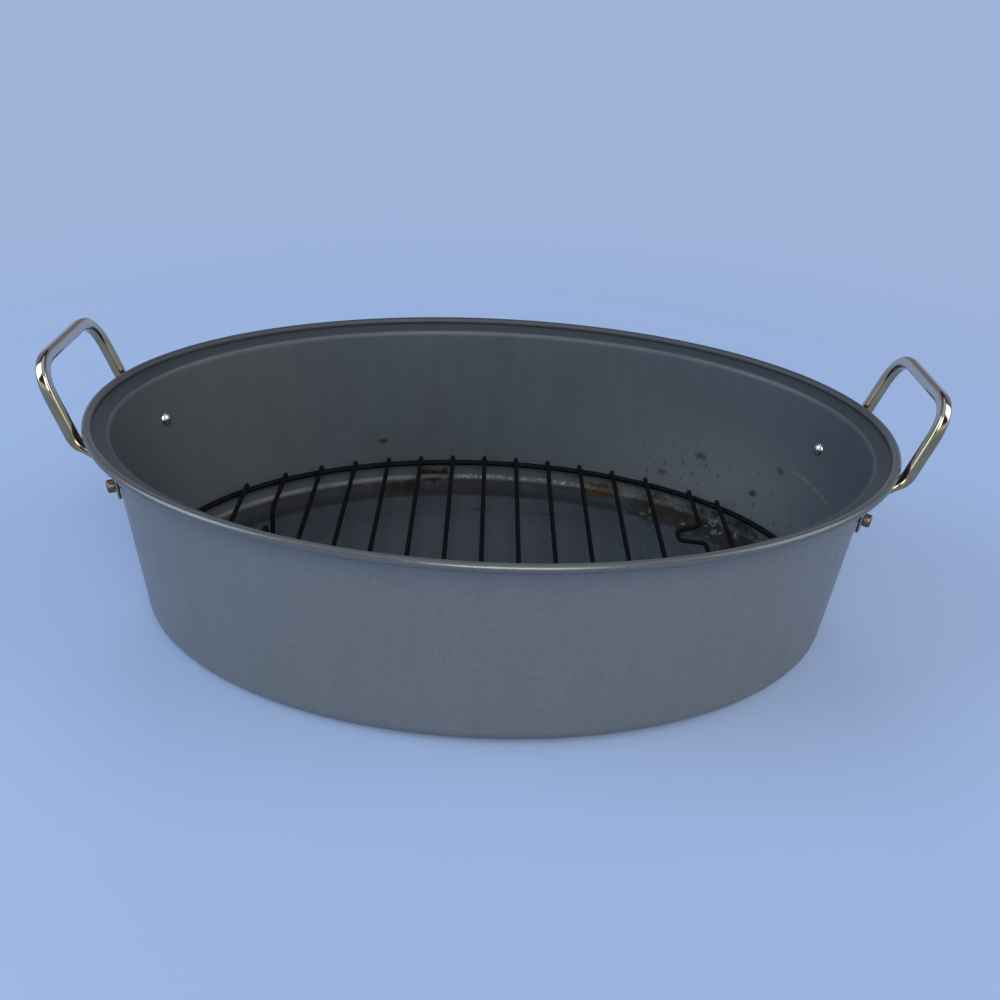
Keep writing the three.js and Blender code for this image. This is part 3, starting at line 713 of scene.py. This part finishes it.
class Graph:
    """A node tree with short ways to add nodes and join them."""

    def __init__(self, tree):
        self.tree = tree

    def join(self, socket, value):
        """Links a result to an input, or sets the input."""
        if isinstance(value, bpy.types.NodeSocket):
            self.tree.links.new(value, socket)
        else:
            socket.default_value = value

    def add(self, kind, inputs=None, **settings):
        """A node with its settings, its inputs set or linked."""
        made = self.tree.nodes.new(kind)
        for name, value in settings.items():
            setattr(made, name, value)
        for name, value in (inputs or {}).items():
            self.join(made.inputs[name], value)
        return made

    def here(self, kind="Object"):
        """Places, or the surface's direction, in the object's own frame."""
        return self.add("ShaderNodeTexCoord").outputs[kind]

    def axes(self, vector=None):
        """The three parts of a vector, or of the place on the object."""
        return self.add("ShaderNodeSeparateXYZ", {0: vector or self.here()}).outputs

    def mark(self, name):
        """A surface mark stored on the mesh."""
        return self.add("ShaderNodeAttribute", attribute_name=name).outputs["Fac"]

    def math(self, operation, *terms):
        """The result of a sum on one to three values."""
        return self.add("ShaderNodeMath", dict(enumerate(terms)), operation=operation).outputs[0]

    def vector(self, operation, *terms):
        """The results of a sum on vectors."""
        return self.add("ShaderNodeVectorMath", dict(enumerate(terms)), operation=operation).outputs

    def times(self, first, *others):
        """The product of several values."""
        for other in others:
            first = self.math("MULTIPLY", first, other)
        return first

    def most(self, first, *others):
        """The largest of several values."""
        for other in others:
            first = self.math("MAXIMUM", first, other)
        return first

    def total(self, base, *parts):
        """A base with shares of several values added."""
        for value, amount in parts:
            base = self.math("MULTIPLY_ADD", value, amount, base)
        return base

    def ramp(self, value, low, high, start=0.0, end=1.0):
        """A value eased from start to end as it goes from low to high."""
        inputs = {"Value": value, "From Min": low, "From Max": high, "To Min": start, "To Max": end}
        return self.add("ShaderNodeMapRange", inputs, interpolation_type="SMOOTHSTEP").outputs[0]

    def zone(self, **spans):
        """A mask that rises along each axis from where it begins to where it is full, in metres."""
        where = self.axes()
        return self.times(*(self.ramp(where[axis], *span) for axis, span in spans.items()))

    def blend(self, portion, low, high):
        """A colour between two."""
        inputs = {0: portion, 6: solid(low), 7: solid(high)}
        return self.add("ShaderNodeMix", inputs, data_type="RGBA").outputs[2]

    def washed(self, tone, *washes):
        """A tone with other colours laid over it, each by its mask and strength."""
        for mask, strength, over in washes:
            tone = self.blend(self.times(mask, strength), tone, over)
        return tone

    def noise(self, scale, detail=3.0, rough=0.55, stretch=None):
        """Cloudy noise over the surface."""
        where = self.vector("MULTIPLY", self.here(), stretch)[0] if stretch else self.here()
        inputs = {"Vector": where, "Scale": scale, "Detail": detail, "Roughness": rough}
        return self.add("ShaderNodeTexNoise", inputs).outputs[0]

    def bump(self, height, strength, distance, normal=None):
        """A normal from a height."""
        inputs = {"Height": height, "Strength": strength, "Distance": distance}
        if normal:
            inputs["Normal"] = normal
        return self.add("ShaderNodeBump", inputs).outputs[0]

    def group(self, tree, **inputs):
        """A shared effect placed in this tree."""
        return self.add("ShaderNodeGroup", inputs, node_tree=tree).outputs


def solid(value):
    """A colour with full alpha, or a socket as it is."""
    return value if isinstance(value, bpy.types.NodeSocket) else (*value, 1.0)


def scaled(shade, amount):
    """A colour made darker or paler."""
    return [amount * part for part in shade]


def new_group(name, inputs, outputs):
    """An empty shared effect with its sockets, and the ends of its tree."""
    tree = bpy.data.node_groups.new(name, "ShaderNodeTree")
    for label, kind, default in inputs:
        tree.interface.new_socket(label, in_out="INPUT", socket_type=kind).default_value = default
    for label in outputs:
        tree.interface.new_socket(label, in_out="OUTPUT", socket_type="NodeSocketFloat")
    graph = Graph(tree)
    return graph, graph.add("NodeGroupInput").outputs, graph.add("NodeGroupOutput").inputs


def speckle_group():
    """Fine flecks of a sprayed coating, as a pale mask, a dark mask and a height."""
    inputs = [("Scale", "NodeSocketFloat", 900.0)]
    graph, given, out = new_group(SPECKLE, inputs, ("Pale", "Dark", "Height"))
    grain = graph.noise(given["Scale"], detail=2.0, rough=0.7)
    coarse = graph.noise(graph.times(given["Scale"], SPECKLE_COARSE), detail=2.0, rough=0.6)
    graph.join(out["Pale"], graph.ramp(grain, *PALE_CUT))
    graph.join(out["Dark"], graph.ramp(coarse, *DARK_CUT))
    graph.join(out["Height"], grain)
    return graph.tree


def smudge_group():
    """Broad handling marks, as a mask with soft edges and finer breakup."""
    graph, given, out = new_group(SMUDGE, [("Scale", "NodeSocketFloat", 12.0)], ("Mask",))
    broad = graph.noise(given["Scale"], detail=4.0, rough=0.6)
    fine = graph.noise(graph.times(given["Scale"], SMUDGE_FINE), rough=0.6)
    mixed = graph.total(graph.times(broad, SMUDGE_BROAD_SHARE), (fine, SMUDGE_FINE_SHARE))
    graph.join(out["Mask"], graph.ramp(mixed, *SMUDGE_CUT))
    return graph.tree


def stain_group():
    """A ragged patch around a place, as a mask."""
    inputs = [
        ("Centre", "NodeSocketVector", (0.0, 0.0, 0.0)),
        ("Reach", "NodeSocketVector", (0.01, 0.01, 0.01)),
        ("Grain", "NodeSocketFloat", 160.0),
    ]
    graph, given, out = new_group(STAIN, inputs, ("Mask",))
    away = graph.vector("SUBTRACT", graph.here(), given["Centre"])[0]
    distance = graph.vector("LENGTH", graph.vector("DIVIDE", away, given["Reach"])[0])["Value"]
    grain = graph.noise(given["Grain"], detail=4.0, rough=0.65)
    edge = graph.total(distance, (graph.math("SUBTRACT", grain, NOISE_MIDDLE), STAIN_RAGGED))
    graph.join(out["Mask"], graph.ramp(edge, *STAIN_CUT))
    return graph.tree


def new_material(name):
    """An empty material, its graph and its surface shader."""
    made = bpy.data.materials.new(name)
    made.use_nodes = True
    return made, Graph(made.node_tree), made.node_tree.nodes["Principled BSDF"]


def connect(graph, shader, **inputs):
    """Joins results to the surface shader, or sets its inputs."""
    for name, value in inputs.items():
        graph.join(shader.inputs[name.replace("_", " ")], value)


def coating_material(look, effects):
    """Grey sprayed coating: paler outside, darker inside as painted shade, slick and stained on the floor.
    """
    made, graph, shader = new_material("Pan coating")
    inner, floor, bead, seat, shoulder = (graph.mark(name) for name in PAN_MARKS)
    fine = graph.group(effects[SPECKLE], Scale=COATING_GRAIN)
    smudge = graph.group(effects[SMUDGE], Scale=COATING_SMUDGE)["Mask"]
    streaks = graph.noise(STREAK_GRAIN, rough=0.6, stretch=STREAK_STRETCH)
    streaks = graph.ramp(streaks, *STREAK_CUT)
    # The far bead is darkened toward the seat colour: painted shade over its highlight
    shaded_far_bead = graph.times(bead, graph.zone(Y=(-0.03, 0.08)))
    # The shoulder is darkened toward the seat colour too: painted shade over its highlight
    shoulder = graph.math("POWER", shoulder, SHOULDER_SHADE_POWER)
    burnt_and_shaded, crumbs_and_highlight_mask = baked_and_shaded_corner(graph, smudge), crumbs_and_highlight(graph)
    dim, deep = scaled(look.outside, 0.75), scaled(look.inside, 0.6)
    outside = graph.washed(
        look.outside,
        (fine["Pale"], 0.8, look.fleck),
        (fine["Dark"], 0.45, dim),
        (streaks, 0.2, dim),
    )
    inside = graph.washed(
        look.inside,
        (fine["Pale"], 0.18, look.fleck),
        (smudge, 0.4, deep),
        (streaks, 0.25, deep),
        # Painted light: the lower right part of the inner wall made paler
        (graph.zone(X=(-0.02, 0.19), Z=(0.105, 0.03)), 0.65, look.haze),
        (graph.zone(X=(-0.08, -0.2)), 0.35, look.smoke),
    )
    bed = graph.washed(
        look.floor,
        (smudge, 0.4, scaled(look.floor, 1.35)),
        # Painted light: the floor's right part made paler
        (graph.zone(X=(0.02, 0.14)), 0.5, scaled(look.floor, 1.6)),
    )
    tone = graph.washed(
        # Inside the pan the coating is painted darker, as painted shade
        graph.blend(inner, outside, inside),
        (floor, 1.0, bed),
        (bead, 0.9, look.bead),
        # Painted shade: the seat's dark colour
        (seat, 1.0, look.seat),
        (shaded_far_bead, 0.7, look.seat),
        (shoulder, 0.35, look.seat),
        (specks(graph), SPECK_STRENGTH, look.char),
        # Painted shade, partly baked film: the low back corner darkened to char
        (burnt_and_shaded, 0.8, look.char),
    )
    baked = []
    for kind, centre, reach, strength, grain in STAINS:
        stain = graph.group(effects[STAIN], Centre=centre, Reach=reach, Grain=grain)["Mask"]
        mask = graph.times(stain, strength, inner)
        tone = graph.blend(mask, tone, getattr(look, kind))
        if kind != "smear":
            baked.append(mask)
    tone = graph.blend(crumbs_and_highlight_mask, tone, look.crumb)
    stained = graph.most(*baked)
    rough = graph.total(
        0.38,
        (smudge, 0.08),
        (floor, -0.14),
        (bead, -0.22),
        (shaded_far_bead, 0.38),
        (shoulder, 0.12),
        (stained, 0.25),
        (burnt_and_shaded, 0.6),
    )
    # More metal on the baked corner and the stains darkens them; over the corner this is painted shade
    metal = graph.total(0.4, (inner, -0.3), (graph.most(burnt_and_shaded, stained), 0.55))
    height = graph.total(0.0, (fine["Height"], 0.5), (stained, 0.6), (crumbs_and_highlight_mask, 2.0))
    dents = graph.bump(graph.noise(DENT_GRAIN, detail=1.0), strength=0.25, distance=0.004)
    normal = graph.bump(height, strength=0.35, distance=0.0003, normal=dents)
    connect(graph, shader, Base_Color=tone, Roughness=rough, Metallic=metal, Normal=normal)
    return made


def specks(graph):
    """Small dark spatters on the back wall's right half, as a mask."""
    tall = graph.vector("MULTIPLY", graph.here(), SPECK_STRETCH)[0]
    inputs = {"Vector": tall, "Scale": SPECK_GRAIN, "Randomness": 1.0}
    cells = graph.add("ShaderNodeTexVoronoi", inputs).outputs
    pick = graph.add("ShaderNodeSeparateColor", {0: cells["Color"]}).outputs[0]
    size = graph.times(graph.ramp(pick, *SPECK_PICK), SPECK_SIZE)
    away = graph.total(cells["Distance"], (graph.noise(SPECK_EDGE_GRAIN, detail=2.0), SPECK_RAGGED))
    dots = graph.ramp(graph.math("SUBTRACT", away, size), *SPECK_CUT)
    zone = graph.zone(X=(0.05, 0.14), Y=(0.0, 0.05), Z=(0.075, 0.04))
    return graph.times(dots, zone, graph.mark("inner_face"))


def floor_edge(graph):
    """How near a place is to the edge of the flat floor, as a square that is one on BED_HALF's oval."""
    where = graph.axes()
    shares = [graph.math("DIVIDE", where[axis], half) for axis, half in zip("XY", BED_HALF)]
    return graph.math("ADD", *(graph.math("POWER", share_of, 2.0) for share_of in shares))


def baked_and_shaded_corner(graph, smudge):
    """Dark film baked on low in the back corner, which also lays painted shade over it, as a mask."""
    edge = graph.ramp(floor_edge(graph), *BAKED_EDGE)
    film = graph.total(BAKED_PLAIN, (smudge, BAKED_SMUDGED))
    return graph.times(edge, graph.zone(Y=(-0.02, 0.06), Z=(0.0085, 0.006)), graph.mark("inner_face"), film)


def crumbs_and_highlight(graph):
    """A pale line of dried juices, crumbs and a painted highlight in the back corner, as a mask."""
    where = graph.axes()
    line = graph.times(graph.zone(Y=(0.03, 0.08), Z=(0.007, 0.0086)), graph.ramp(where["Z"], 0.0112, 0.01))
    # On the left the line's film is a painted highlight
    film = graph.ramp(graph.noise(FILM_GRAIN, rough=0.6), *FILM_CUT)
    film = graph.times(graph.ramp(where["X"], 0.0, -0.06, *FILM_DEPTH), film)
    chips = graph.ramp(graph.noise(CHIP_GRAIN, rough=0.7), *CHIP_CUT)
    chips = graph.times(chips, graph.zone(X=(-0.05, -0.01)), graph.ramp(where["X"], 0.09, 0.06))
    scraps = graph.ramp(graph.noise(SCRAP_GRAIN, detail=4.0, rough=0.7), *SCRAP_CUT)
    heap = graph.zone(X=(0.085, 0.115), Y=(0.02, 0.06), Z=(0.02, 0.012))
    heap = graph.times(heap, graph.ramp(floor_edge(graph), *HEAP_EDGE))
    scraps = graph.times(heap, scraps, SCRAP_STRENGTH)
    mask = graph.most(graph.times(line, graph.most(film, chips)), scraps)
    return graph.times(mask, graph.mark("inner_face"))


def steel_material(look, effects):
    """Polished steel with fine rubbing marks and a straw heat tint low on the legs, strongest in front,
    where it is partly a painted reflection.
    """
    made, graph, shader = new_material("Handle steel")
    smudge = graph.group(effects[SMUDGE], Scale=STEEL_SMUDGE)["Mask"]
    # Faces turned to the front get more tint: partly painted reflection
    front = graph.ramp(graph.axes(graph.here("Normal"))["Y"], *FRONT_REFLECTION_CUT)
    cloudy = graph.ramp(graph.noise(HEAT_GRAIN), *CLOUD_CUT)
    heat = graph.times(graph.zone(Z=(0.154, 0.138)), front, cloudy)
    tone = graph.washed(look.steel, (heat, 1.0, look.heat), (smudge, 0.12, scaled(look.steel, 0.55)))
    rough = graph.total(0.07, (smudge, 0.07))
    hairlines = graph.noise(HAIRLINE_GRAIN, detail=2.0, rough=0.6, stretch=HAIRLINE_STRETCH)
    normal = graph.bump(hairlines, strength=0.02, distance=0.0002)
    connect(graph, shader, Base_Color=tone, Roughness=rough, Metallic=1.0, Normal=normal)
    return made


def rivet_material(look, effects):
    """Bright alloy heads inside, tarnished brown knobs outside."""
    made, graph, shader = new_material("Rivet alloy")
    knob = graph.mark("outside_knob")
    smudge = graph.group(effects[SMUDGE], Scale=RIVET_SMUDGE)["Mask"]
    fine = graph.group(effects[SPECKLE], Scale=RIVET_GRAIN)
    bright = graph.washed(look.rivet, (smudge, 0.35, scaled(look.rivet, 0.6)))
    dull = graph.washed(look.tarnish, (fine["Pale"], 0.6, scaled(look.rivet, 0.5)))
    tone = graph.blend(knob, bright, dull)
    rough = graph.total(0.22, (smudge, 0.12), (knob, 0.14))
    normal = graph.bump(fine["Height"], strength=0.12, distance=0.0002)
    connect(graph, shader, Base_Color=tone, Roughness=rough, Metallic=1.0, Normal=normal)
    return made


def wire_material(look, effects):
    """Black coated wire, with greasy dull spots and greyish rubbed flecks."""
    made, graph, shader = new_material("Rack wire")
    fine = graph.group(effects[SPECKLE], Scale=WIRE_GRAIN)
    smudge = graph.group(effects[SMUDGE], Scale=WIRE_SMUDGE)["Mask"]
    tone = graph.washed(look.wire, (fine["Pale"], 0.04, look.fleck), (smudge, 0.05, look.scorch))
    rough = graph.total(0.42, (smudge, 0.2))
    normal = graph.bump(fine["Height"], strength=0.2, distance=0.0002)
    connect(graph, shader, Base_Color=tone, Roughness=rough, Specular_IOR_Level=0.06, Normal=normal)
    return made


def shared_effects():
    """The effects that several finishes use, made once."""
    makers = {SPECKLE: speckle_group, SMUDGE: smudge_group, STAIN: stain_group}
    return {name: bpy.data.node_groups.get(name) or make() for name, make in makers.items()}


def finish_of(name, make, look):
    """A finish by name, made the first time it is asked for."""
    return bpy.data.materials.get(name) or make(look, shared_effects())


# Pieces


def add_piece(name, points, faces, material, marks=None):
    """A smooth mesh object with its finish and its surface marks."""
    mesh = bpy.data.meshes.new(name)
    mesh.from_pydata([tuple(p) for p in points], [], faces)
    mesh.polygons.foreach_set("use_smooth", [True] * len(mesh.polygons))
    mesh.set_sharp_from_angle(angle=SHARP_ANGLE)
    for label, values in (marks or {}).items():
        mesh.attributes.new(label, "FLOAT", "POINT").data.foreach_set("value", values.astype(np.float32))
    mesh.materials.append(material)
    mesh.update()
    made = bpy.data.objects.new(name, mesh)
    bpy.context.scene.collection.objects.link(made)
    return made


def stand_for(piece, node, body):
    """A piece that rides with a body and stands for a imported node."""
    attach(piece, body)
    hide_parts(node)


def pan_shape(scene):
    return PanShape(scene.roaster_pan, scene.roaster_rivets)


class ROASTER_OT_pan(bpy.types.Operator):
    """Build the drawn oval pan with its rolled rim and cover seat"""

    bl_idname = "roaster.pan"
    bl_label = "Pan"

    def execute(self, context):
        look = context.scene.roaster_finishes
        points, faces, marks = pan_mesh(pan_shape(context.scene))
        material = finish_of("Pan coating", coating_material, look)
        piece = add_piece("pan_shell", points, faces, material, marks)
        stand_for(piece, "pan_body", "pan")
        return {"FINISHED"}


class ROASTER_OT_handles(bpy.types.Operator):
    """Build the two bent rod handles with their forged feet"""

    bl_idname = "roaster.handles"
    bl_label = "Handles"

    def execute(self, context):
        scene = context.scene
        shape, sizes = pan_shape(scene), scene.roaster_handles
        material = finish_of("Handle steel", steel_material, scene.roaster_finishes)
        for end, turn in ENDS.items():
            points, faces = handle_mesh(shape, sizes, math.cos(turn) * sizes.lean)
            piece = add_piece(f"{end}_handle_rod", turned(points, turn), faces, material)
            stand_for(piece, f"handle_{end}", "pan")
        return {"FINISHED"}


class ROASTER_OT_rivets(bpy.types.Operator):
    """Build the rivets with domed heads inside and upset knobs outside"""

    bl_idname = "roaster.rivets"
    bl_label = "Rivets"

    def execute(self, context):
        scene = context.scene
        shape = pan_shape(scene)
        material = finish_of("Rivet alloy", rivet_material, scene.roaster_finishes)
        for end, turn in ENDS.items():
            for row, side in (("front", -1), ("back", 1)):
                own_side = side if end == "right" else -side
                points, faces, marks = rivet_mesh(shape, scene.roaster_handles, own_side)
                piece = add_piece(f"{end}_{row}_rivet", turned(points, turn), faces, material, marks)
                stand_for(piece, f"rivet_{end}_{row}", "pan")
        return {"FINISHED"}


class ROASTER_OT_rack(bpy.types.Operator):
    """Build the loose rack: hoop, bars, welds and bent feet"""

    bl_idname = "roaster.rack"
    bl_label = "Rack"

    def execute(self, context):
        scene = context.scene
        rack = RackShape(scene.roaster_rack, pan_shape(scene))
        material = finish_of("Rack wire", wire_material, scene.roaster_finishes)
        points, faces = rack.hoop_mesh()
        piece = add_piece("rack_hoop", rack.laid(points), faces, material)
        stand_for(piece, "rack_ring", "rack")
        for index in range(1, BAR_COUNT + 1):
            points, faces = rack.bar_mesh(index)
            piece = add_piece(f"rack_rod_{index:02d}", points, faces, material)
            stand_for(piece, f"rack_bar_{index:02d}", "rack")
        return {"FINISHED"}


# Stage

# Where the sky's bands begin and are full, along a direction's way back and up
DROP_Y, DUSK_Y, SHADE_Y = (-0.1, 0.5), (0.0, 0.4), (0.1, 0.4)
ZENITH_Z, DROP_Z, FLOOR_Z = (0.6, 0.92), (0.38, 0.26), (0.17, 0.13)
SHADE_Z, SHADE_TOP_Z = (0.53, 0.6), (0.86, 0.8)


def floor_material(look):
    """Plain pale matt floor that turns into an even backdrop away from the pan."""
    made, graph, shader = new_material("Stage floor")
    connect(graph, shader, Base_Color=solid(look.floor), Roughness=0.9, Specular_IOR_Level=0.1)
    away = graph.vector("LENGTH", graph.here())["Value"]
    path = graph.add("ShaderNodeLightPath").outputs
    seen = graph.most(path["Is Camera Ray"], path["Is Glossy Ray"], path["Is Transmission Ray"])
    portion = graph.times(graph.ramp(away, look.even_from, look.even_to), seen)
    glow = graph.add("ShaderNodeEmission", {"Color": solid(look.floor)}).outputs[0]
    mixed = graph.add("ShaderNodeMixShader", {0: portion, 1: shader.outputs[0], 2: glow}).outputs[0]
    graph.join(graph.tree.nodes["Material Output"].inputs["Surface"], mixed)
    return made


def add_floor(look):
    """A wide round floor at the resting plane."""
    turns = np.linspace(0.0, 2 * math.pi, STAGE_STEPS, endpoint=False)
    points = [point(STAGE_RADIUS * math.cos(t), STAGE_RADIUS * math.sin(t), 0) for t in turns]
    floor = add_piece("stage_floor", points, [tuple(range(STAGE_STEPS))], floor_material(look))


def aimed(place_at, target):
    """A matrix that looks from a place at a target."""
    place_at, target = np.array(place_at), np.array(target)
    back = unit(place_at - target)
    right = unit(np.cross(UP, back))
    axes = np.column_stack((right, np.cross(back, right), back))
    made = Matrix(axes.tolist()).to_4x4()
    made.translation = place_at
    return made


def add_lamp(look, side):
    """A soft square lamp. The one at the back only fills shadows and leaves no glints."""
    lamp = bpy.data.lights.new(f"{side.title()} lamp", "AREA")
    lamp.energy = getattr(look, f"{side}_power")
    lamp.color = getattr(look, f"{side}_tint")
    lamp.size = getattr(look, f"{side}_size")
    made = bpy.data.objects.new(lamp.name, lamp)
    made.matrix_world = aimed(getattr(look, f"{side}_place"), look.aim)
    made.visible_glossy = side != "back"
    bpy.context.scene.collection.objects.link(made)


def add_sky(scene, look):
    """Soft light from above, a pale backdrop low down, and dim bands between them."""
    world = bpy.data.worlds.new("Studio sky")
    world.use_nodes = True
    scene.world = world
    graph = Graph(world.node_tree)
    ways = graph.axes(graph.here("Generated"))
    back, up = ways["Y"], ways["Z"]
    above = graph.blend(graph.ramp(back, *DROP_Y), look.front_drop, look.back_drop)
    band = graph.blend(graph.ramp(back, *DUSK_Y), look.dusk, look.back_dusk)
    tone = graph.blend(graph.ramp(up, *ZENITH_Z), band, look.zenith)
    shade = graph.times(graph.ramp(up, *SHADE_Z), graph.ramp(up, *SHADE_TOP_Z), graph.ramp(back, *SHADE_Y))
    tone = graph.blend(shade, tone, look.dusk)
    tone = graph.blend(graph.ramp(up, *DROP_Z), tone, above)
    tone = graph.blend(graph.ramp(up, *FLOOR_Z), tone, look.floor)
    graph.join(world.node_tree.nodes["Background"].inputs["Color"], tone)


def add_camera(scene, look):
    """The camera at the pan's front."""
    camera = bpy.data.cameras.new("Camera")
    camera.sensor_width = SENSOR_WIDTH
    camera.lens = look.camera_lens
    made = bpy.data.objects.new("Camera", camera)
    turn = Matrix.Rotation(-look.camera_heading, 4, "Z")
    tilt = Matrix.Rotation(0.5 * math.pi - look.camera_pitch, 4, "X")
    roll = Matrix.Rotation(look.camera_roll, 4, "Z")
    made.matrix_world = Matrix.Translation(look.camera_place) @ turn @ tilt @ roll
    scene.collection.objects.link(made)
    scene.camera = made


class ROASTER_OT_stage(bpy.types.Operator):
    """Set the floor, the soft light and the camera"""

    bl_idname = "roaster.stage"
    bl_label = "Stage"

    def execute(self, context):
        scene = context.scene
        look = scene.roaster_stage
        add_floor(look)
        add_sky(scene, look)
        for side in LAMPS:
            add_lamp(look, side)
        add_camera(scene, look)
        scene.view_settings.view_transform = "Standard"
        return {"FINISHED"}


class ROASTER_PT_panel(bpy.types.Panel):
    """Lists the steps that build the roasting pan"""

    bl_label = "Roasting pan"
    bl_idname = "ROASTER_PT_panel"
    bl_space_type = "VIEW_3D"
    bl_region_type = "UI"
    bl_category = "Roaster"

    def draw(self, context):
        for step in STEPS:
            self.layout.operator(step.bl_idname)


SETTINGS = {
    "roaster_pan": PanSizes,
    "roaster_rivets": RivetSizes,
    "roaster_handles": HandleSizes,
    "roaster_rack": RackSizes,
    "roaster_finishes": Finishes,
    "roaster_stage": StageLook,
}
STEPS = (ROASTER_OT_pan, ROASTER_OT_handles, ROASTER_OT_rivets, ROASTER_OT_rack, ROASTER_OT_stage)
CLASSES = (*SETTINGS.values(), *STEPS, ROASTER_PT_panel)


def register():
    for kind in CLASSES:
        bpy.utils.register_class(kind)
    for name, kind in SETTINGS.items():
        setattr(bpy.types.Scene, name, bpy.props.PointerProperty(type=kind))


def unregister():
    for name in SETTINGS:
        delattr(bpy.types.Scene, name)
    for kind in reversed(CLASSES):
        bpy.utils.unregister_class(kind)


def main():
    register()
    bpy.ops.roaster.pan()
    bpy.ops.roaster.handles()
    bpy.ops.roaster.rivets()
    bpy.ops.roaster.rack()
    bpy.ops.roaster.stage()


if __name__ == "__main__":
    main()
